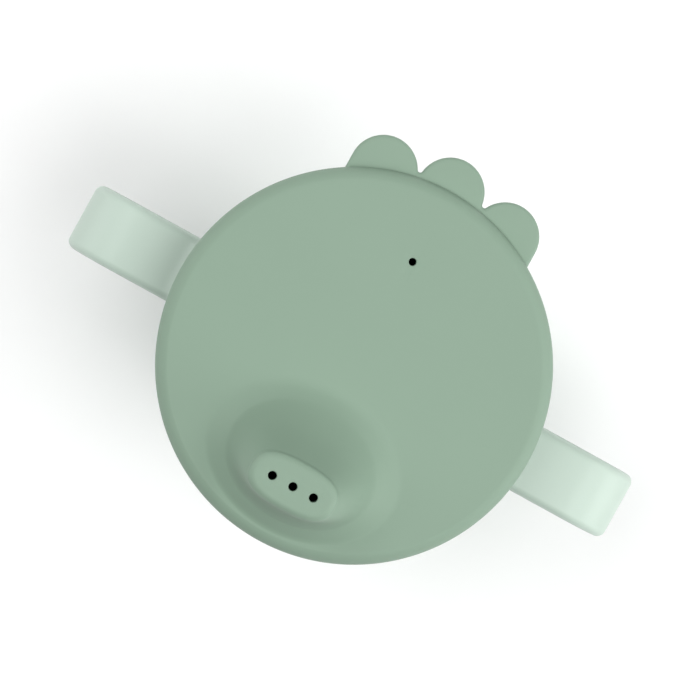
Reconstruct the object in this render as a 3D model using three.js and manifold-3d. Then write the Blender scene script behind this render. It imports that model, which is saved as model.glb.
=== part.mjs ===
// A two-handled sippy cup: a tapered plastic cup with a strap handle on each side, and a soft push-on
// lid with a raised spout, an air vent and a scalloped pull tab at the back.
// Millimetres, +Z up. The origin is the centre of the cup's flat foot. +X runs along the handles, and
// the spout stands towards -Y.

import * as THREE from "three";
import { mergeVertices } from "three/addons/utils/BufferGeometryUtils.js";
import Module from "manifold-3d";

const wasm = await Module();
wasm.setup();

// General
const GAP = 0.3; // clearance between neighbouring pieces
const ROUND_SIDES = 72; // facets round the cup and the lid
const ARC_STEPS = 2; // a rounded corner in a profile is drawn with twice this many segments

// Cup
const RIM_HEIGHT = 79.4;
const RIM_RADIUS = 38.3;
const RIM_STRAIGHT = 16; // height of the upright band that the lid pushes over
const WALL = 2.2;
const FOOT_RADIUS = 23.5; // the flat that the cup stands on
const BASE_CORNER = 6; // radius between the foot and the wall
const WALL_LEAN = THREE.MathUtils.degToRad(17); // at the foot; the wall curves upright from there
const WALL_STEPS = 8;

// Handles
const HANDLE_REACH = 65.7; // from the cup's axis to the outside of the loop
const HANDLE_TOP = 62.5;
const HANDLE_BOTTOM = 32.5;
const HANDLE_WIDTH = 15;
const STRAP = 5; // thickness of the loop's strap
const STRAP_EDGE = 1.8; // rounding along the strap's long edges
const LOOP_CORNER = 12; // outer radius of the loop's two corners
const OUTER_FILLET = 5; // rounding between the wall and the strap, on the outside of the loop
const HOLLOW_FILLET = 3; // and on its inside
const SIDE_FILLET = 2.5; // and along the strap's two narrow sides
const STRAP_EDGE_STEPS = 3;
const LOOP_STEPS = 10; // segments in each of the loop's corners
const ROOT_STEPS = 5;

// Lid
const LID_RADIUS = 41;
const LID_TOP = 82;
const LID_THICK = 2.3;
const LID_EDGE = 3.4; // radius between the top face and the skirt
const LID_CREASE = THREE.MathUtils.degToRad(15); // the edge leaves the top face at this slope
const SKIRT_DEPTH = 13;
const SKIRT_WALL = LID_RADIUS - RIM_RADIUS - GAP;
const SKIRT_LIP = 0.8; // rounding at the skirt's lower edge
const PLUG_WALL = 1.6; // the ring that seals inside the rim
const PLUG_DEPTH = 6;
const VENT_DIAMETER = 1.6;
const VENT_Y = 24.5;

// Pull tab
const LOBES = 3;
const LOBE_RADIUS = 7.1;
const LOBE_ORBIT = 40.95; // distance of each lobe's centre from the cup's axis
const LOBE_PITCH = THREE.MathUtils.degToRad(20.5);
const NOTCH_RADIUS = 0.55; // rounding between two lobes
const TAB_DROP = 3.4; // how far the tab's top lies under the lid's
const TAB_THICK = 2.6;
const TAB_EDGE = 0.6; // rounding along the tab's edges

// Spout: outlines that stand one above the other, each a rounded oblong from its rear to its front
const SPOUT_RISE = 19; // above the lid's top
const TIP_EDGE = 1.6; // rounding round the tip
const SPOUT_WALL = 2;
const SPOUT_STATIONS = [
  { rise: 0, halfWidth: 21, rear: -6.2, front: -37.9, squareness: 2 },
  { rise: 0.4, halfWidth: 19.9, rear: -7.6, front: -37.2, squareness: 2 },
  { rise: 1.2, halfWidth: 18.4, rear: -8.9, front: -36.4, squareness: 2 },
  { rise: 1.9, halfWidth: 17.3, rear: -9.9, front: -35.7, squareness: 2 },
  { rise: 2.3, halfWidth: 16.7, rear: -10.4, front: -35.2, squareness: 2 },
  { rise: 2.8, halfWidth: 16, rear: -11, front: -34.8, squareness: 2.05 },
  { rise: 4.2, halfWidth: 15.1, rear: -12.5, front: -34, squareness: 2.1 },
  { rise: 6.4, halfWidth: 14.1, rear: -14.5, front: -33.2, squareness: 2.15 },
  { rise: 9.2, halfWidth: 12.9, rear: -16.7, front: -32.6, squareness: 2.25 },
  { rise: 13, halfWidth: 11.4, rear: -19, front: -32.1, squareness: 2.4 },
  { rise: SPOUT_RISE - TIP_EDGE, halfWidth: 9.5, rear: -21.2, front: -31.75, squareness: 2.65 },
];
const SPOUT_AROUND = 36; // points in each outline
const STATION_STEPS = 2; // outlines drawn from each station to the next
const TIP_STEPS = 3; // outlines round the tip's edge
const DRINK_HOLES = 3;
const DRINK_DIAMETER = 1.8;
const DRINK_PITCH = 4.65;
const DRINK_Y = -26.5;
const HOLE_SIDES = 12;

const LID_UNDERSIDE = LID_TOP - LID_THICK;
const SKIRT_BOTTOM = LID_TOP - SKIRT_DEPTH;
const QUARTER = Math.PI / 2;

const cupPlastic = { color: 0xcfe0d5, roughness: 0.45, metalness: 0 };
const lidSilicone = { color: 0x98af9c, roughness: 0.75, metalness: 0 };

// A closed geometry as a solid that can be joined and cut.
function solidOf(geometry) {
  const bare = geometry.clone();
  bare.deleteAttribute("normal");
  bare.deleteAttribute("uv");
  const merged = mergeVertices(bare, 1e-4);
  const corners = Array.from(merged.index.array);
  const triVerts = [];
  for (let i = 0; i < corners.length; i += 3) {
    const [a, b, c] = corners.slice(i, i + 3);
    if (a !== b && b !== c && c !== a) triVerts.push(a, b, c);
  }
  return new wasm.Manifold(
    new wasm.Mesh({
      numProp: 3,
      vertProperties: merged.getAttribute("position").array,
      triVerts: new Uint32Array(triVerts),
    }),
  );
}

function geometryOf(solid) {
  const { numProp, vertProperties, triVerts } = solid.getMesh();
  const geometry = new THREE.BufferGeometry();
  geometry.setAttribute("position", new THREE.BufferAttribute(vertProperties, numProp));
  geometry.setIndex(new THREE.BufferAttribute(triVerts, 1));
  geometry.computeVertexNormals();
  return geometry;
}

function namedMesh(name, geometry, finish) {
  const mesh = new THREE.Mesh(geometry, new THREE.MeshStandardMaterial(finish));
  mesh.name = name;
  return mesh;
}

// A profile of radius against height, turned about +Z.
function turned(points) {
  return new THREE.LatheGeometry(points, ROUND_SIDES).rotateX(QUARTER);
}

// A flat outline in X and Y, raised from one height to another with its edges rounded.
function raised(outline, bottom, top, edge = 0) {
  const rounded = edge > 0;
  const geometry = new THREE.ExtrudeGeometry(outline, {
    depth: top - bottom - 2 * edge,
    bevelEnabled: rounded,
    bevelSize: edge,
    bevelThickness: edge,
    bevelOffset: -edge,
    bevelSegments: 2,
    curveSegments: 5,
  });
  return geometry.translate(0, 0, bottom + edge);
}

function uprightHole(diameter, x, y) {
  const reach = 2 * SPOUT_RISE;
  const drill = new THREE.CylinderGeometry(diameter / 2, diameter / 2, reach, HOLE_SIDES);
  return solidOf(drill.rotateX(QUARTER).translate(x, y, LID_TOP + SPOUT_RISE / 2));
}

// A closed body through rings that each run anticlockwise round the way from the first to the last,
// with both ends closed over.
function loftedGeometry(rings) {
  const around = rings[0].length;
  const positions = rings.flat().flatMap((point) => point.toArray());
  const index = [];
  for (let k = 0; k + 1 < rings.length; k += 1) {
    for (let i = 0; i < around; i += 1) {
      const near = k * around;
      const far = near + around;
      const next = (i + 1) % around;
      index.push(near + i, near + next, far + next);
      index.push(near + i, far + next, far + i);
    }
  }
  for (const [ring, turn] of [
    [0, 1],
    [rings.length - 1, -1],
  ]) {
    const middle = rings[ring].reduce((sum, point) => sum.add(point), new THREE.Vector3());
    positions.push(...middle.divideScalar(around).toArray());
    const centre = positions.length / 3 - 1;
    for (let i = 0; i < around; i += 1) {
      const pair = [ring * around + i, ring * around + ((i + 1) % around)];
      if (turn > 0) pair.reverse();
      index.push(centre, ...pair);
    }
  }
  const geometry = new THREE.BufferGeometry();
  geometry.setAttribute("position", new THREE.Float32BufferAttribute(positions, 3));
  geometry.setIndex(index);
  return geometry;
}

// The cup's side from the axis up to its upright band, as points moved outwards by an offset.
function cupSide(offset) {
  const corner = BASE_CORNER + offset;
  const foot = new THREE.Path();
  foot.moveTo(0, -offset);
  foot.lineTo(FOOT_RADIUS, -offset);
  foot.absarc(FOOT_RADIUS, BASE_CORNER, corner, -QUARTER, -WALL_LEAN, false);
  const points = foot.getPoints(ARC_STEPS);
  const start = points.pop();
  const bandRadius = RIM_RADIUS + offset;
  const bend = start.y + (bandRadius - start.x) / Math.tan(WALL_LEAN);
  const wall = new THREE.QuadraticBezierCurve(
    start,
    new THREE.Vector2(bandRadius, bend),
    new THREE.Vector2(bandRadius, RIM_HEIGHT - RIM_STRAIGHT),
  );
  return [...points, ...wall.getPoints(WALL_STEPS)];
}

function cupBody() {
  const rim = new THREE.Path();
  const round = WALL / 2;
  rim.absarc(RIM_RADIUS - round, RIM_HEIGHT - round, round, 0, Math.PI, false);
  const profile = [...cupSide(0), ...rim.getPoints(ARC_STEPS), ...cupSide(-WALL).reverse()];
  return namedMesh("cup_body", turned(profile), cupPlastic);
}

// The space that the cup fills, with a clearance round it.
function cupEnvelope() {
  const rim = [new THREE.Vector2(RIM_RADIUS + GAP, RIM_HEIGHT), new THREE.Vector2(0, RIM_HEIGHT)];
  return solidOf(turned([...cupSide(GAP), ...rim]));
}

// The cup's outer radius at a height.
function wallRadius(height) {
  const side = cupSide(0);
  const above = side.findIndex((point) => point.y > height);
  if (above < 0) return RIM_RADIUS;
  const from = side[above - 1];
  const to = side[above];
  return THREE.MathUtils.mapLinear(height, from.y, to.y, from.x, to.x);
}

// Points round the strap's section with their outward normals: x out of the loop, y across the strap.
function strapSection() {
  const corners = [
    [1, 1],
    [-1, 1],
    [-1, -1],
    [1, -1],
  ];
  const section = [];
  corners.forEach(([out, across], k) => {
    for (let i = 0; i <= STRAP_EDGE_STEPS; i += 1) {
      const angle = QUARTER * (k + i / STRAP_EDGE_STEPS);
      const normal = new THREE.Vector2(Math.cos(angle), Math.sin(angle));
      const place = new THREE.Vector2(
        out * (STRAP / 2 - STRAP_EDGE),
        across * (HANDLE_WIDTH / 2 - STRAP_EDGE),
      );
      section.push({ normal, place: place.addScaledVector(normal, STRAP_EDGE) });
    }
  });
  return section;
}

// Rings from the strap to the wall, flaring in a fillet until the surface runs along the wall, and a
// last ring inside the wall. The outside of the loop points up or down.
function rootRings(height, up) {
  const section = strapSection();
  const rings = [];
  for (let i = 0; i <= ROOT_STEPS; i += 1) {
    const angle = (QUARTER * i) / ROOT_STEPS;
    const ring = section.map(({ normal, place }) => {
      const facing = normal.x > 0 ? OUTER_FILLET : HOLLOW_FILLET;
      const fillet = THREE.MathUtils.lerp(SIDE_FILLET, facing, normal.x ** 2);
      const spread = fillet * (1 - Math.cos(angle));
      const y = place.y + normal.y * spread;
      const z = height + up * (place.x + normal.x * spread);
      const wall = Math.sqrt(wallRadius(z) ** 2 - y ** 2);
      return new THREE.Vector3(wall + fillet * (1 - Math.sin(angle)), y, z);
    });
    rings.push(ring);
  }
  const inside = new THREE.Vector3(-WALL, 0, 0);
  rings.push(rings.at(-1).map((point) => point.clone().add(inside)));
  return rings;
}

// Rings of the strap from its lower root round the loop's two corners to its upper root.
function loopRings() {
  const section = strapSection();
  const end = HANDLE_REACH - LOOP_CORNER;
  const bend = LOOP_CORNER - STRAP / 2;
  const corner = (height, from) => {
    const rings = [];
    for (let i = 0; i <= LOOP_STEPS; i += 1) {
      const angle = from + (QUARTER * i) / LOOP_STEPS;
      const ring = section.map(({ place }) => {
        const radius = bend + place.x;
        const x = end + radius * Math.cos(angle);
        return new THREE.Vector3(x, place.y, height + radius * Math.sin(angle));
      });
      rings.push(ring);
    }
    return rings;
  };
  return [
    ...rootRings(HANDLE_BOTTOM + STRAP / 2, -1).reverse(),
    ...corner(HANDLE_BOTTOM + LOOP_CORNER, -QUARTER),
    ...corner(HANDLE_TOP - LOOP_CORNER, 0),
    ...rootRings(HANDLE_TOP - STRAP / 2, 1),
  ];
}

function handle(name, side) {
  const loop = loftedGeometry(loopRings());
  if (side < 0) loop.rotateZ(Math.PI);
  const trimmed = solidOf(loop).subtract(cupEnvelope());
  return namedMesh(name, geometryOf(trimmed), cupPlastic);
}

// One outline of the spout as points in X and Y at its own height.
function spoutOutline({ rise, halfWidth, rear, front, squareness }, grow = 0) {
  const middle = (rear + front) / 2;
  const halfLength = (rear - front) / 2 + grow;
  const power = 2 / squareness;
  const points = [];
  for (let i = 0; i < SPOUT_AROUND; i += 1) {
    const angle = (2 * Math.PI * i) / SPOUT_AROUND;
    const across = Math.cos(angle);
    const along = Math.sin(angle);
    const x = (halfWidth + grow) * Math.sign(across) * Math.abs(across) ** power;
    const y = middle + halfLength * Math.sign(along) * Math.abs(along) ** power;
    points.push(new THREE.Vector3(x, y, LID_TOP + rise));
  }
  return points;
}

// A smooth run of outlines through the stations, then round the edge of the tip.
function spoutOutlines() {
  const keys = Object.keys(SPOUT_STATIONS[0]);
  const curves = keys.map(
    (key) => new THREE.SplineCurve(SPOUT_STATIONS.map((s) => new THREE.Vector2(s[key], 0))),
  );
  const outlines = [];
  const steps = (SPOUT_STATIONS.length - 1) * STATION_STEPS;
  for (let i = 0; i <= steps; i += 1) {
    const values = curves.map((curve) => curve.getPoint(i / steps).x);
    outlines.push(Object.fromEntries(keys.map((key, k) => [key, values[k]])));
  }
  const neck = SPOUT_STATIONS.at(-1);
  for (let i = 1; i <= TIP_STEPS; i += 1) {
    const angle = (QUARTER * i) / TIP_STEPS;
    const inset = TIP_EDGE * (1 - Math.cos(angle));
    outlines.push({
      rise: neck.rise + TIP_EDGE * Math.sin(angle),
      halfWidth: neck.halfWidth - inset,
      rear: neck.rear - inset,
      front: neck.front + inset,
      squareness: neck.squareness,
    });
  }
  return outlines.map((outline) => spoutOutline(outline));
}

// The same rings of points moved inwards along the surface's normals.
function inset(rings, distance) {
  const last = rings.length - 1;
  return rings.map((ring, k) =>
    ring.map((point, i) => {
      const around = ring[(i + 1) % ring.length].clone().sub(ring.at(i - 1));
      const above = rings[Math.min(k + 1, last)][i];
      const below = rings[Math.max(k - 1, 0)][i];
      const upwards = above.clone().sub(below);
      const normal = around.cross(upwards).normalize();
      if (k === 0 || k === last) normal.set(0, 0, 1);
      return point.clone().addScaledVector(normal, -distance);
    }),
  );
}

function spout() {
  const outer = spoutOutlines();
  const inner = inset(outer, SPOUT_WALL);
  for (const point of inner[0]) point.z = LID_UNDERSIDE;
  let solid = solidOf(loftedGeometry([...inner.reverse(), ...outer]));
  for (let i = 0; i < DRINK_HOLES; i += 1) {
    const x = (i - (DRINK_HOLES - 1) / 2) * DRINK_PITCH;
    solid = solid.subtract(uprightHole(DRINK_DIAMETER, x, DRINK_Y));
  }
  return namedMesh("spout", geometryOf(solid), lidSilicone);
}

// The opening in the lid that the spout's foot fills, reaching a little way under the lid's top plate.
function spoutOpening() {
  const points = spoutOutline(SPOUT_STATIONS[0], GAP).map(({ x, y }) => new THREE.Vector2(x, y));
  return solidOf(raised(new THREE.Shape(points), LID_UNDERSIDE - GAP, LID_TOP + 1));
}

function lidCap() {
  const profile = new THREE.Path();
  const plugOuter = RIM_RADIUS - WALL - GAP;
  const plugInner = plugOuter - PLUG_WALL;
  const plugBottom = LID_UNDERSIDE - PLUG_DEPTH;
  const skirtInner = LID_RADIUS - SKIRT_WALL;
  profile.moveTo(0, LID_UNDERSIDE);
  profile.lineTo(plugInner, LID_UNDERSIDE);
  profile.lineTo(plugInner, plugBottom);
  profile.lineTo(plugOuter - PLUG_WALL / 4, plugBottom);
  profile.lineTo(plugOuter, plugBottom + PLUG_WALL);
  profile.lineTo(plugOuter, LID_UNDERSIDE);
  profile.lineTo(skirtInner, LID_UNDERSIDE);
  profile.lineTo(skirtInner, SKIRT_BOTTOM);
  profile.absarc(LID_RADIUS - SKIRT_LIP, SKIRT_BOTTOM + SKIRT_LIP, SKIRT_LIP, -QUARTER, 0, false);
  const edgeFoot = LID_TOP - LID_EDGE * Math.cos(LID_CREASE);
  profile.absarc(LID_RADIUS - LID_EDGE, edgeFoot, LID_EDGE, 0, QUARTER - LID_CREASE, false);
  profile.lineTo(0, LID_TOP);
  const vent = uprightHole(VENT_DIAMETER, 0, VENT_Y);
  const plain = solidOf(turned(profile.getPoints(ARC_STEPS)));
  const solid = plain.subtract(spoutOpening()).subtract(vent);
  return namedMesh("lid_cap", geometryOf(solid), lidSilicone);
}

// Three round lobes side by side along the lid's edge, with rounded notches and straight outer sides.
function tabOutline() {
  const outline = new THREE.Shape();
  const end = (LOBES - 1) / 2;
  const centre = (k) => {
    const angle = QUARTER + k * LOBE_PITCH;
    return new THREE.Vector2(LOBE_ORBIT * Math.cos(angle), LOBE_ORBIT * Math.sin(angle));
  };
  // From a lobe's centre, the direction of the notch centre between it and the next lobe.
  const halfSpan = LOBE_ORBIT * Math.sin(LOBE_PITCH / 2);
  const swing = Math.acos(halfSpan / (LOBE_RADIUS + NOTCH_RADIUS));
  const first = centre(-end);
  const last = centre(end);
  outline.moveTo(first.x + LOBE_RADIUS, 0);
  outline.lineTo(first.x + LOBE_RADIUS, first.y);
  for (let k = -end; k <= end; k += 1) {
    const { x, y } = centre(k);
    const towardsNext = Math.PI + (k + 0.5) * LOBE_PITCH - swing;
    const towardsLast = (k - 0.5) * LOBE_PITCH + swing;
    const start = k === -end ? 0 : towardsLast;
    const stop = k === end ? Math.PI : towardsNext;
    outline.absarc(x, y, LOBE_RADIUS, start, stop, false);
    if (k === end) continue;
    const reach = LOBE_RADIUS + NOTCH_RADIUS;
    const notchX = x + reach * Math.cos(towardsNext);
    const notchY = y + reach * Math.sin(towardsNext);
    const from = towardsNext - Math.PI;
    const to = (k + 0.5) * LOBE_PITCH + swing - Math.PI;
    outline.absarc(notchX, notchY, NOTCH_RADIUS, from, to, true);
  }
  outline.lineTo(last.x - LOBE_RADIUS, 0);
  return outline;
}

function pullTab() {
  const top = LID_TOP - TAB_DROP;
  const plate = raised(tabOutline(), top - TAB_THICK, top, TAB_EDGE);
  const clear = LID_RADIUS + GAP;
  const lid = new THREE.CylinderGeometry(clear, clear, LID_TOP, ROUND_SIDES).rotateX(QUARTER);
  const solid = solidOf(plate).subtract(solidOf(lid.translate(0, 0, LID_TOP)));
  return namedMesh("pull_tab", geometryOf(solid), lidSilicone);
}

const cup = new THREE.Group();
cup.add(cupBody(), handle("left_handle", -1), handle("right_handle", 1));

const lid = new THREE.Group();
lid.add(lidCap(), spout(), pullTab());

const sippyCup = new THREE.Group();
sippyCup.add(cup, lid);

export default sippyCup;
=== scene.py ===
"""Sippy cup: a pale plastic cup with two strap handles under a sage silicone lid with a raised spout.

Lengths are metres in the part's own frame: +Z up, +X along the handles, the spout towards -Y. Shapes
are given in millimetres through MM, so that they can be read beside the part's dimensions.
"""

import math

import bmesh
import bpy
import numpy as np
from mathutils import Matrix, Vector


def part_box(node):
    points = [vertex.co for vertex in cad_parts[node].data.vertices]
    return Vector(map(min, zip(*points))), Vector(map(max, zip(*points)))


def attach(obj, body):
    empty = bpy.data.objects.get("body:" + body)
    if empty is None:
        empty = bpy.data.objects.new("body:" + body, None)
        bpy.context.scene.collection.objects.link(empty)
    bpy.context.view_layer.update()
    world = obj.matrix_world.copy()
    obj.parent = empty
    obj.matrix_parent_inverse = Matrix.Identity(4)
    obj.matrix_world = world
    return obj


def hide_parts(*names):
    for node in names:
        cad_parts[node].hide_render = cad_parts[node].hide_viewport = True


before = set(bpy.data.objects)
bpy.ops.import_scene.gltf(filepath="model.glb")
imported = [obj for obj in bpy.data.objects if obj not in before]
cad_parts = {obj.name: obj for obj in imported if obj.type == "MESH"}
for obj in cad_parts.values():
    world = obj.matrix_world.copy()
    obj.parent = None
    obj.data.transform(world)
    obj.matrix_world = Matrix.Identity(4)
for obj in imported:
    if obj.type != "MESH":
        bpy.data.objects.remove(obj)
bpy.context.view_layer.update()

MM = 0.001
QUARTER = math.pi / 2

# ---------------------------------------------------------------- places taken from the frame, in mm

CAP_LOW, CAP_HIGH = (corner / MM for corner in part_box("lid_cap"))
CUP_LOW, CUP_HIGH = (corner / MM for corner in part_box("cup_body"))
TAB_LOW, TAB_HIGH = (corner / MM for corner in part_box("pull_tab"))
SPOUT_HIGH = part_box("spout")[1] / MM
LOOP_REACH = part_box("right_handle")[1].x / MM

LID_RADIUS = (CAP_HIGH.x - CAP_LOW.x) / 2
LID_TOP = CAP_HIGH.z
SKIRT_BOTTOM = CAP_LOW.z
RIM_RADIUS = (CUP_HIGH.x - CUP_LOW.x) / 2
RIM_HEIGHT = CUP_HIGH.z
SPOUT_RISE = SPOUT_HIGH.z - LID_TOP

# ---------------------------------------------------------------- camera

CAMERA_ROLL = math.radians(28.9)
CAMERA_HEIGHT = 620 * MM  # above the lid's top
CAMERA_ASIDE = Vector((-25, 11.3)) * MM  # from the lid's centre, so the view is tilted by 2.5 degrees
VIEW_WIDTH = 143.35 * MM  # what the picture takes in at the lid's top
AIM = Vector((-2.51, 2.52)) * MM  # the middle of the picture, from the lid's centre
SENSOR = 36
CLIP = (0.01, 20)  # metres


def make_camera():
    top = LID_TOP * MM
    eye = Vector((CAMERA_ASIDE.x, CAMERA_ASIDE.y, top + CAMERA_HEIGHT))
    aim = Vector((AIM.x, AIM.y, top))
    back = (eye - aim).normalized()
    picture_up = Vector((-math.sin(CAMERA_ROLL), math.cos(CAMERA_ROLL), 0))
    right = picture_up.cross(back).normalized()
    up = back.cross(right)
    camera = bpy.data.objects.new("camera", bpy.data.cameras.new("camera"))
    camera.matrix_world = Matrix.Translation(eye) @ Matrix((right, up, back)).transposed().to_4x4()
    camera.data.sensor_width = SENSOR
    camera.data.lens = SENSOR * (eye - aim).length / VIEW_WIDTH
    camera.data.clip_start, camera.data.clip_end = CLIP
    bpy.context.scene.collection.objects.link(camera)
    bpy.context.scene.camera = camera


make_camera()

# ---------------------------------------------------------------- mesh tools


def arc(centre, radius, start, stop, steps):
    """Points (first, second coordinate) on an arc, angles in degrees."""
    angles = np.radians(np.linspace(start, stop, steps + 1))
    return [(centre[0] + radius * math.cos(a), centre[1] + radius * math.sin(a)) for a in angles]


def object_from(name, points, faces):
    """An object from points in mm."""
    mesh = bpy.data.meshes.new(name)
    mesh.from_pydata([tuple(np.asarray(p, float) * MM) for p in points], [], faces)
    mesh.validate()
    obj = bpy.data.objects.new(name, mesh)
    bpy.context.scene.collection.objects.link(obj)
    return obj


def finish_surface(obj, sharp=35):
    for polygon in obj.data.polygons:
        polygon.use_smooth = True
    obj.data.set_sharp_from_angle(angle=math.radians(sharp))


def lofted(name, rings):
    """A closed body through rings of points, each with the same count, with a flat cap at both ends."""
    rings = np.asarray(rings, float)
    count, around = rings.shape[:2]
    faces = []
    for k in range(count - 1):
        for i in range(around):
            j = (i + 1) % around
            faces.append((k * around + i, k * around + j, (k + 1) * around + j, (k + 1) * around + i))
    faces.append(tuple(range(around))[::-1])
    faces.append(tuple((count - 1) * around + i for i in range(around)))
    return object_from(name, rings.reshape(-1, 3), faces)


def turned(name, profile, around=192):
    """A closed body turned about Z from (radius, height) points that start and end on the axis."""
    angles = np.arange(around) * 2 * math.pi / around
    circle = np.stack([np.cos(angles), np.sin(angles)], axis=1)
    inner = profile[1:-1]
    points = [(r * c, r * s, z) for r, z in inner for c, s in circle]
    first, last = len(points), len(points) + 1
    points += [(0, 0, profile[0][1]), (0, 0, profile[-1][1])]
    faces = []
    for i in range(around):
        j = (i + 1) % around
        for k in range(len(inner) - 1):
            a, b = k * around, (k + 1) * around
            faces.append((a + i, a + j, b + j, b + i))
        end = (len(inner) - 1) * around
        faces.append((first, j, i))
        faces.append((last, end + i, end + j))
    return object_from(name, points, faces)


def combine(obj, others, operation):
    """Joins or cuts obj with other closed bodies, which are used up."""
    for other in others:
        modifier = obj.modifiers.new(operation, "BOOLEAN")
        modifier.operation = operation
        modifier.solver = "EXACT"
        modifier.object = other
        shape = obj.evaluated_get(bpy.context.evaluated_depsgraph_get())
        made = bpy.data.meshes.new_from_object(shape)
        obj.modifiers.clear()
        obj.data = made
        bpy.data.objects.remove(other)
    return obj


def smooth_rows(rows, steps):
    """Rows of values as a smooth run with an odd number of steps from each row to the next."""
    rows = np.asarray(rows, float)
    # Two rows more at each end, mirrored through the end row, keep the end rows in their place.
    padded = np.vstack([2 * rows[0] - rows[2:0:-1], rows, 2 * rows[-1] - rows[-2:-4:-1]])
    spots = np.arange(-2, len(rows) + 2)
    fine = np.arange(-2 * steps, (len(rows) + 1) * steps + 1) / steps
    kernel = np.ones(steps) / steps
    columns = []
    for column in padded.T:
        line = np.interp(fine, spots, column)
        # Two passes of a centred mean round each corner off, and keep straight stretches straight.
        for _ in range(2):
            line = np.convolve(line, kernel, "same")
        columns.append(line)
    inside = (fine >= 0) & (fine <= len(rows) - 1)
    return np.stack(columns, axis=1)[inside]


# ---------------------------------------------------------------- materials


def node_maker(material):
    tree = material.node_tree
    tree.nodes.clear()

    def make(kind, inputs=(), **settings):
        node = tree.nodes.new(kind)
        for key, value in settings.items():
            setattr(node, key, value)
        for key, value in dict(inputs).items():
            if isinstance(value, bpy.types.NodeSocket):
                tree.links.new(value, node.inputs[key])
            else:
                node.inputs[key].default_value = value
        return node

    return make


CLOUD_SCALE = 45  # of the slow drift of colour
GRAIN_TONE = 0.015  # how far the grain lightens and darkens the colour
GLOSS_SWING = 0.05  # how far the grain changes the roughness


def moulded(name, colour, drift, roughness, grain, grain_depth, **shader):
    """A moulded plastic or rubber: a faint drift of colour, a fine grain and uneven gloss."""
    material = bpy.data.materials.new(name)
    material.use_nodes = True
    make = node_maker(material)
    place = make("ShaderNodeTexCoord").outputs["Object"]
    cloud = make(
        "ShaderNodeTexNoise",
        {"Vector": place, "Scale": CLOUD_SCALE, "Detail": 3, "Roughness": 0.5},
    )
    speck = make(
        "ShaderNodeTexNoise",
        {"Vector": place, "Scale": grain, "Detail": 2, "Roughness": 0.6},
    )
    light = [min(1, c * (1 + drift)) for c in colour] + [1]
    dark = [c * (1 - drift) for c in colour] + [1]
    tone = make(
        "ShaderNodeMix",
        {0: cloud.outputs["Fac"], 6: dark, 7: light},
        data_type="RGBA",
    )
    fine = make(
        "ShaderNodeMapRange",
        {"Value": speck.outputs["Fac"], "To Min": 1 - GRAIN_TONE, "To Max": 1 + GRAIN_TONE},
    )
    body = make(
        "ShaderNodeVectorMath",
        {0: tone.outputs[2], "Scale": fine.outputs["Result"]},
        operation="SCALE",
    )
    gloss = make(
        "ShaderNodeMapRange",
        {
            "Value": speck.outputs["Fac"],
            "To Min": roughness - GLOSS_SWING,
            "To Max": roughness + GLOSS_SWING,
        },
    )
    bump = make(
        "ShaderNodeBump",
        {"Height": speck.outputs["Fac"], "Strength": 1.0, "Distance": grain_depth},
    )
    inputs = {
        "Base Color": body.outputs[0],
        "Roughness": gloss.outputs["Result"],
        "Normal": bump.outputs["Normal"],
        **shader,
    }
    principled = make("ShaderNodeBsdfPrincipled", inputs)
    make("ShaderNodeOutputMaterial", {"Surface": principled.outputs["BSDF"]})
    return material


LID_COLOUR = (0.234, 0.331, 0.253)
CUP_COLOUR = (0.49, 0.596, 0.522)


def silicone():
    return moulded(
        "sage_silicone",
        LID_COLOUR,
        drift=0.02,
        roughness=0.58,
        grain=3500,
        grain_depth=0.00001,
        **{"Specular IOR Level": 0.3},
    )


def cup_plastic():
    return moulded(
        "mint_polypropylene",
        CUP_COLOUR,
        drift=0.012,
        roughness=0.42,
        grain=2500,
        grain_depth=0.000008,
        **{"Specular IOR Level": 0.45},
    )


def add_piece(obj, body, material, slot, *nodes):
    obj.data.materials.clear()
    obj.data.materials.append(material)
    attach(obj, body)
    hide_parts(*nodes)


# ---------------------------------------------------------------- lid

AROUND = 240  # points in each ring of the lid
SPOUT_MIDDLE = -21.6  # y that the lid's rings spread from
LID_THICK = 2.3
LID_EDGE = 3.4  # rounding of the flat top's edge
LID_CREASE = 15  # degrees: the edge leaves the flat top at this slope
SKIRT_WALL = 2.4
PLUG_WALL = 1.6  # of the sealing ring
PLUG_DEPTH = 6
GAP = 0.3  # between the lid and the cup
WALL = 2.2  # of the cup
TIP_EDGE = 1.6  # rounding of the spout's tip
LID_UNDER = LID_TOP - LID_THICK
EDGE_MARGIN = 0.4  # keeps the skirt's straight rings off its rounded ends
SKIRT_LIP = 0.8  # rounding of the skirt's lower edge
INNER_CORNER = 0.4  # rounding beside the gap that takes the cup's rim
PLUG_FILLET = 0.8  # rounding between the sealing ring and the lid's underside
SEAL_BULGE = 0.22  # height of the sealing ring's two soft beads

# rise above the lid, half width, rear and front y, squareness of the outline
SPOUT_STATIONS = [
    (0, 22, -5.2, -38.2, 2),
    (0, 21, -6.2, -37.9, 2),
    (0.4, 19.9, -7.6, -37.2, 2),
    (1.2, 18.4, -8.9, -36.4, 2),
    (1.9, 17.3, -9.9, -35.7, 2),
    (2.3, 16.7, -10.4, -35.2, 2),
    (2.8, 16, -11, -34.8, 2.05),
    (4.2, 15.1, -12.5, -34, 2.1),
    (6.4, 14.1, -14.5, -33.2, 2.15),
    (9.2, 12.9, -16.7, -32.6, 2.25),
    (13, 11.4, -19, -32.1, 2.4),
    (SPOUT_RISE - TIP_EDGE, 9.5, -21.2, -31.75, 2.65),
]
STATION_STEPS = 7  # rings from one station to the next
TIP_STEPS = 10  # rings over the tip's rounded edge
TIP_SHARES = (0.02, 0.5, 0.9)  # rings on the flat of the tip, as shares of its size
SPOUT_WALL = 1.9
SPOUT_CLEARANCE = 1.3  # between the spout's hollow and the sealing ring
HOLLOW_MOUTH = ((19.6, -8.6, 0), (18.8, -9.6, 0.1))  # half width, rear y, shift of the front y
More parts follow.
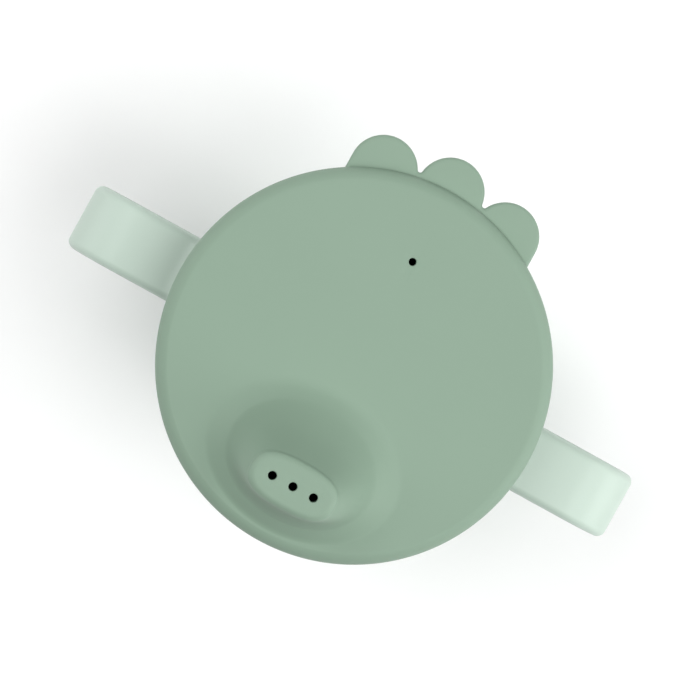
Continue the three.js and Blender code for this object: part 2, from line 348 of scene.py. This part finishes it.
HOLLOW_SINK = 2.1  # how far the hollow's rings lie below the spout's own at the foot
HOLLOW_ROOF = 3  # from the tip down to the start of the hollow's rounded end
HOLLOW_EDGE = 1.2
HOLLOW_STEPS = 5
DRINK_HOLES = (-4.65, 0, 4.65)
DRINK_RADIUS = 0.9
DRINK_Y = -26.5
DRINK_DEPTH = 6
VENT_RADIUS = 0.8
VENT_Y = 24.5
VENT_DEPTH = 5

TOP_SHARES = (0.015, 0.2, 0.5, 0.8, 0.985)  # rings on the flat top, from the spout to the edge
UNDER_SHARES = (0.02, 0.5, 0.98)  # and on the underside, back to the hollow

TURN = np.arange(AROUND) * 2 * math.pi / AROUND
WAY = np.stack([np.cos(TURN), np.sin(TURN)], axis=1)


def oblong(rise, half_width, rear, front, squareness):
    """A ring of the spout: a rounded oblong outline at one height; a squareness of 2 is an oval."""
    half_length = (rear - front) / 2
    spread = np.abs(WAY[:, 0] / half_width) ** squareness
    spread = spread + np.abs(WAY[:, 1] / half_length) ** squareness
    reach = spread ** (-1 / squareness)
    ring = np.empty((AROUND, 3))
    ring[:, :2] = WAY * reach[:, None] + (0, (rear + front) / 2)
    ring[:, 2] = LID_TOP + rise
    return ring


def circle(radius, height):
    """A ring of the lid, met by the same rays from the spout's middle as every other ring."""
    start = np.array((0, SPOUT_MIDDLE))
    along = WAY @ start
    reach = -along + np.sqrt(along**2 + radius**2 - start @ start)
    ring = np.empty((AROUND, 3))
    ring[:, :2] = start + WAY * reach[:, None]
    ring[:, 2] = height
    return ring


def between(first, last, shares):
    return [first * (1 - share) + last * share for share in shares]


def spout_outside():
    """Rings from the middle of the tip down to the spout's foot."""
    neck_rise, half_width, rear, front, squareness = SPOUT_STATIONS[-1]
    middle = (rear + front) / 2
    rings = []
    for share in TIP_SHARES:
        flat_half = (half_width - TIP_EDGE) * share
        flat_length = ((rear - front) / 2 - TIP_EDGE) * share
        rings.append(oblong(SPOUT_RISE, flat_half, middle + flat_length, middle - flat_length, squareness))
    for angle in np.radians(np.linspace(90, 0, TIP_STEPS + 1)):
        inset = TIP_EDGE * (1 - math.cos(angle))
        rise = neck_rise + TIP_EDGE * math.sin(angle)
        rings.append(oblong(rise, half_width - inset, rear - inset, front + inset, squareness))
    for row in smooth_rows(SPOUT_STATIONS, STATION_STEPS)[-2::-1]:
        rings.append(oblong(*row))
    return rings


def lid_profile():
    """(radius, height) from the flat top's edge, round the skirt and the sealing ring, to the underside."""
    skirt_inner = LID_RADIUS - SKIRT_WALL
    plug_outer = RIM_RADIUS - WALL - GAP
    plug_inner = plug_outer - PLUG_WALL
    plug_low = LID_UNDER - PLUG_DEPTH
    lip = SKIRT_LIP
    corner = INNER_CORNER
    fillet = PLUG_FILLET
    end = PLUG_WALL / 2
    edge_foot = LID_TOP - LID_EDGE * math.cos(math.radians(LID_CREASE))
    straight_top = edge_foot - EDGE_MARGIN
    straight_foot = SKIRT_BOTTOM + lip + EDGE_MARGIN
    profile = arc((LID_RADIUS - LID_EDGE, edge_foot), LID_EDGE, 90 - LID_CREASE, 0, 14)
    profile += [(LID_RADIUS, z) for z in np.linspace(straight_top, straight_foot, 7)]
    profile += arc((LID_RADIUS - lip, SKIRT_BOTTOM + lip), lip, 0, -90, 6)
    profile += arc((skirt_inner + lip, SKIRT_BOTTOM + lip), lip, 270, 180, 6)
    profile += arc((skirt_inner - corner, LID_UNDER - corner), corner, 0, 90, 4)
    profile += arc((plug_outer + corner, LID_UNDER - corner), corner, 90, 180, 4)
    bead_top = LID_UNDER - 2 * corner
    for z in np.linspace(bead_top, plug_low + end + 0.2, 21):
        depth = (bead_top - z) / (PLUG_DEPTH - end - 1)
        profile.append((plug_outer + SEAL_BULGE * math.sin(2 * math.pi * depth) ** 2, z))
    profile += arc((plug_outer - end, plug_low + end), end, 0, -180, 10)
    profile += arc((plug_inner - fillet, LID_UNDER - fillet), fillet, 0, 90, 5)
    return profile


def spout_inside():
    """Rings from the edge of the spout's hollow under the lid up to the hollow's end inside the tip."""
    wall = SPOUT_WALL
    nearest = -(RIM_RADIUS - WALL - GAP - PLUG_WALL) + SPOUT_CLEARANCE
    rows = [(-LID_THICK, half, rear, nearest + shift, 2) for half, rear, shift in HOLLOW_MOUTH]
    for rise, half_width, rear, front, squareness in SPOUT_STATIONS[3:-1]:
        sunk = rise - HOLLOW_SINK * (1 - rise / SPOUT_RISE) ** 2
        inner_front = max(front + wall, nearest + 0.2)
        rows.append((sunk, half_width - wall, rear - wall, inner_front, squareness))
    _, half_width, rear, front, squareness = SPOUT_STATIONS[-1]
    roof = SPOUT_RISE - HOLLOW_ROOF
    rows.append((roof, half_width - wall, rear - wall, front + wall, squareness))
    rings = [oblong(*row) for row in smooth_rows(rows, HOLLOW_STEPS)]
    for angle in np.radians(np.linspace(15, 90, 6)):
        inset = wall + HOLLOW_EDGE * (1 - math.cos(angle))
        rise = roof + HOLLOW_EDGE * math.sin(angle)
        rings.append(oblong(rise, half_width - inset, rear - inset, front + inset, squareness))
    return rings


def lid_body():
    rings = spout_outside()
    profile = lid_profile()
    rings += between(rings[-1], circle(*profile[0]), TOP_SHARES)
    rings += [circle(radius, height) for radius, height in profile]
    inside = spout_inside()
    rings += between(circle(*profile[-1]), inside[0], UNDER_SHARES)
    rings += inside
    return lofted("silicone_lid", rings[::-1])


LOBE_RADIUS = 7.1
LOBE_ORBIT = 40.95  # from the lid's axis to each lobe's middle
LOBE_PITCH = 20.5  # degrees from lobe to lobe
NOTCH_RADIUS = 0.55  # rounding between two lobes
TAB_EDGE = 0.8
TAB_ROOT = LID_RADIUS - 1.2  # the tab's plate ends inside the skirt's wall here


def tab_outline(inset, height):
    """The scalloped outline, anticlockwise from its right side, moved inwards by inset."""
    swing = math.degrees(
        math.acos(LOBE_ORBIT * math.sin(math.radians(LOBE_PITCH / 2)) / (LOBE_RADIUS + NOTCH_RADIUS))
    )
    reach = LOBE_RADIUS + NOTCH_RADIUS
    points = []
    for k in (-1, 0, 1):
        place = math.radians(90 + k * LOBE_PITCH)
        centre = np.array((math.cos(place), math.sin(place))) * LOBE_ORBIT
        start = 0 if k == -1 else (k - 0.5) * LOBE_PITCH + swing
        stop = 180 if k == 1 else 180 + (k + 0.5) * LOBE_PITCH - swing
        points += arc(centre, LOBE_RADIUS - inset, start, stop, 36)
        if k < 1:
            turn = math.radians(stop)
            notch = centre + reach * np.array((math.cos(turn), math.sin(turn)))
            finish = (k + 0.5) * LOBE_PITCH + swing - 180
            points += arc(notch, NOTCH_RADIUS + inset, stop - 180, finish, 8)[1:-1]
    side = abs(points[0][0])
    root = math.degrees(math.acos(side / TAB_ROOT))
    points += arc((0, 0), TAB_ROOT, 180 - root, root, 40)
    return [(x, y, height) for x, y in points]


def tab_body():
    low, high = TAB_LOW.z, TAB_HIGH.z
    rings = []
    for start, centre in ((-90, low + TAB_EDGE), (0, high - TAB_EDGE)):
        for angle in np.radians(np.linspace(start, start + 90, 7)):
            inset = TAB_EDGE * (1 - math.cos(angle))
            rings.append(tab_outline(inset, centre + TAB_EDGE * math.sin(angle)))
    return lofted("pull_tab_plate", rings)


HOLE_MOUTH = 0.18


def hole_cutter(radius, x, y, top, depth):
    """A drill that flares at the surface, so that the hole's mouth is rounded."""
    mouth = HOLE_MOUTH
    profile = [(0, top - depth), (radius, top - depth)]
    profile += arc((radius + mouth, top - mouth), mouth, 180, 90, 5)
    profile += [(radius + mouth, top + 1), (0, top + 1)]
    cutter = turned("drill", profile, around=40)
    cutter.data.transform(Matrix.Translation((x * MM, y * MM, 0)))
    return cutter


def make_lid(material):
    lid = combine(lid_body(), [tab_body()], "UNION")
    tip = LID_TOP + SPOUT_RISE
    holes = [hole_cutter(DRINK_RADIUS, x, DRINK_Y, tip, DRINK_DEPTH) for x in DRINK_HOLES]
    holes.append(hole_cutter(VENT_RADIUS, 0, VENT_Y, LID_TOP, VENT_DEPTH))
    combine(lid, holes, "DIFFERENCE")
    finish_surface(lid)
    add_piece(lid, "lid", material, "lid_silicone", "lid_cap", "spout", "pull_tab")


# ---------------------------------------------------------------- cup

FOOT_RADIUS = 23.5
BASE_CORNER = 6
WALL_LEAN = 17  # degrees at the foot
RIM_STRAIGHT = 16  # height of the upright band under the rim
BAND_ROWS = (12, 8, 4)  # rings on the band, below the rim

# (radius, height) under the foot: the shallow dimple in the middle and the groove round it
FOOT_DIMPLE = [(0, 0.45), (1.1, 0.45), (1.3, 0.35), (2.4, 0.35), (2.7, 0.1), (2.9, 0)]
FOOT_GROOVE = [(17.2, 0), (17.6, 0.15), (18, 0.5), (20, 0.5), (20.4, 0.15), (20.8, 0)]


def cup_side(offset):
    """(radius, height) from the edge of the foot up to the upright band, moved outwards by offset."""
    corner = BASE_CORNER + offset
    points = arc((FOOT_RADIUS, BASE_CORNER), corner, -90, -WALL_LEAN, 10)
    start = np.array(points.pop())
    band = RIM_RADIUS + offset
    bend = np.array((band, start[1] + (band - start[0]) / math.tan(math.radians(WALL_LEAN))))
    top = np.array((band, RIM_HEIGHT - RIM_STRAIGHT))
    for t in np.linspace(0, 1, 33):
        points.append(tuple(start * (1 - t) ** 2 + bend * 2 * t * (1 - t) + top * t**2))
    return points


def cup_profile():
    rim = WALL / 2
    profile = FOOT_DIMPLE + FOOT_GROOVE + cup_side(0)
    profile += [(RIM_RADIUS, RIM_HEIGHT - z) for z in (*BAND_ROWS, rim + 0.3)]
    profile += arc((RIM_RADIUS - rim, RIM_HEIGHT - rim), rim, 0, 180, 16)
    profile += [(RIM_RADIUS - WALL, RIM_HEIGHT - z) for z in (rim + 0.3, *BAND_ROWS[::-1])]
    profile += cup_side(-WALL)[::-1]
    profile += [(FOOT_RADIUS - 1, WALL), (0, WALL)]
    return profile


def wall_radius(height):
    """The cup's outer radius at a height."""
    radii, heights = np.array(cup_side(0)).T
    return float(np.interp(height, heights, radii))


def make_cup(material):
    cup = turned("cup_shell", cup_profile(), around=256)
    finish_surface(cup)
    add_piece(cup, "cup", material, "cup_plastic", "cup_body")


# ---------------------------------------------------------------- handles

STRAP = 5
STRAP_WIDTH = 15
LOOP_DROP = 19.5  # from the lid's top down to the loop's
LOOP_HEIGHT = 30
LOOP_TOP = LID_TOP - LOOP_DROP
LOOP_BOTTOM = LOOP_TOP - LOOP_HEIGHT
STRAP_EDGE = 1.8
LOOP_CORNER = 12
OUTER_FILLET = 5  # rounding between the wall and the outside of the loop
HOLLOW_FILLET = 3  # and on its inside
SIDE_FILLET = 2.5  # and along the strap's two narrow sides
ROOT_BURIED = 0.6  # how far the root runs on into the wall


def strap_section():
    """Unit normals and places (out of the loop, across the strap) round the strap's section."""
    half_thick = STRAP / 2 - STRAP_EDGE
    half_width = STRAP_WIDTH / 2 - STRAP_EDGE
    section = []
    for corner, (a, b) in enumerate(((1, 1), (-1, 1), (-1, -1), (1, -1))):
        for angle in np.radians(np.linspace(90 * corner, 90 * corner + 90, 9)):
            normal = np.array((math.cos(angle), math.sin(angle)))
            section.append((normal, np.array((a * half_thick, b * half_width)) + STRAP_EDGE * normal))
    return section


def loop_path():
    """The strap's middle line in X and Z with its outward direction, from the upper root to the lower."""
    middle = LOOP_CORNER - STRAP / 2
    end = LOOP_REACH - LOOP_CORNER
    top, bottom = LOOP_TOP, LOOP_BOTTOM
    path = [((end, top - STRAP / 2), (0, 1))]
    for angle in np.radians(np.linspace(90, 0, 25)[1:]):
        out = (math.cos(angle), math.sin(angle))
        path.append(((end + middle * out[0], top - LOOP_CORNER + middle * out[1]), out))
    for angle in np.radians(np.linspace(0, -90, 25)):
        out = (math.cos(angle), math.sin(angle))
        path.append(((end + middle * out[0], bottom + LOOP_CORNER + middle * out[1]), out))
    return path


def root_rings(height, out, section):
    """Rings from the strap to the wall: the surface turns outwards until it lies along the wall."""
    rings = []
    for share in np.linspace(0, 1, 13):
        angle = share * QUARTER
        ring = []
        for normal, place in section:
            facing = OUTER_FILLET if normal[0] > 0 else HOLLOW_FILLET
            fillet = SIDE_FILLET + (facing - SIDE_FILLET) * normal[0] ** 2
            spread = fillet * (1 - math.cos(angle))
            y = place[1] + normal[1] * spread
            z = height + out * (place[0] + normal[0] * spread)
            wall = math.sqrt(wall_radius(z) ** 2 - y**2)
            ring.append((wall + fillet * (1 - math.sin(angle)), y, z))
        rings.append(ring)
    buried = [(x - ROOT_BURIED, y, z) for x, y, z in rings[-1]]
    return rings + [buried]


def make_handle(name, side, material):
    section = strap_section()
    path = loop_path()
    upper = root_rings(path[0][0][1], 1, section)
    lower = root_rings(path[-1][0][1], -1, section)
    loop = []
    for (x, z), (out_x, out_z) in path:
        ring = [(x + out_x * p[0], p[1], z + out_z * p[0]) for _, p in section]
        loop.append(ring)
    rings = upper[::-1] + loop + lower
    loop_object = lofted(name, rings)
    if side < 0:
        loop_object.data.transform(Matrix.Rotation(math.pi, 4, "Z"))
    finish_surface(loop_object)
    cad_node = name.replace("_loop", "_handle")
    add_piece(loop_object, "cup", material, "cup_plastic", cad_node)


# ---------------------------------------------------------------- stage


FLOOR_HALF = 3  # metres
FLOOR_COLOUR = (0.96, 0.96, 0.96, 1)


def make_floor():
    mesh = bpy.data.meshes.new("floor")
    corners = [(x * FLOOR_HALF, y * FLOOR_HALF, 0) for x, y in ((-1, -1), (1, -1), (1, 1), (-1, 1))]
    mesh.from_pydata(corners, [], [(0, 1, 2, 3)])
    floor = bpy.data.objects.new("floor", mesh)
    bpy.context.scene.collection.objects.link(floor)
    material = bpy.data.materials.new("floor_white")
    material.use_nodes = True
    shader = material.node_tree.nodes["Principled BSDF"]
    shader.inputs["Base Color"].default_value = FLOOR_COLOUR
    shader.inputs["Roughness"].default_value = 0.9
    shader.inputs["Specular IOR Level"].default_value = 0.1
    mesh.materials.append(material)


SOFTBOX_SIZE = 0.8  # metres
SOFTBOX_DISTANCE = 1.3
LIGHT_AIM = Vector((0, 0, 0.06))
WORLD_STRENGTH = 0.1

# name, azimuth from +X towards +Y and elevation in degrees, watts
SOFTBOXES = [
    ("overhead_front", 325, 65, 5.0),
    ("overhead_right", 0, 65, 4.2),
    ("overhead_left", 180, 65, 6.1),
    ("rear_left", 135, 40, 2.8),
    ("rear_right", 45, 40, 3.9),
    ("side_right", 0, 15, 7.8),
    ("side_left", 180, 15, 4.6),
]


def softbox(name, azimuth, elevation, watts):
    """A square area light on a sphere round the cup, facing it."""
    data = bpy.data.lights.new(name, "AREA")
    data.shape = "SQUARE"
    data.size = SOFTBOX_SIZE
    data.energy = watts
    light = bpy.data.objects.new(name, data)
    turn, lift = math.radians(azimuth), math.radians(elevation)
    out = Vector((math.cos(turn) * math.cos(lift), math.sin(turn) * math.cos(lift), math.sin(lift)))
    light.location = LIGHT_AIM + out * SOFTBOX_DISTANCE
    light.rotation_euler = (-out).to_track_quat("-Z", "Y").to_euler()
    bpy.context.scene.collection.objects.link(light)


def make_light():
    scene = bpy.context.scene
    world = bpy.data.worlds.new("studio")
    world.use_nodes = True
    background = world.node_tree.nodes["Background"]
    background.inputs["Color"].default_value = (1, 1, 1, 1)
    background.inputs["Strength"].default_value = WORLD_STRENGTH
    scene.world = world
    scene.view_settings.view_transform = "Standard"
    scene.view_settings.look = "None"
    for name, azimuth, elevation, watts in SOFTBOXES:
        softbox(name, azimuth, elevation, watts)


SAGE = silicone()
MINT = cup_plastic()
make_cup(MINT)
make_handle("right_loop", 1, MINT)
make_handle("left_loop", -1, MINT)
make_lid(SAGE)
make_floor()
make_light()
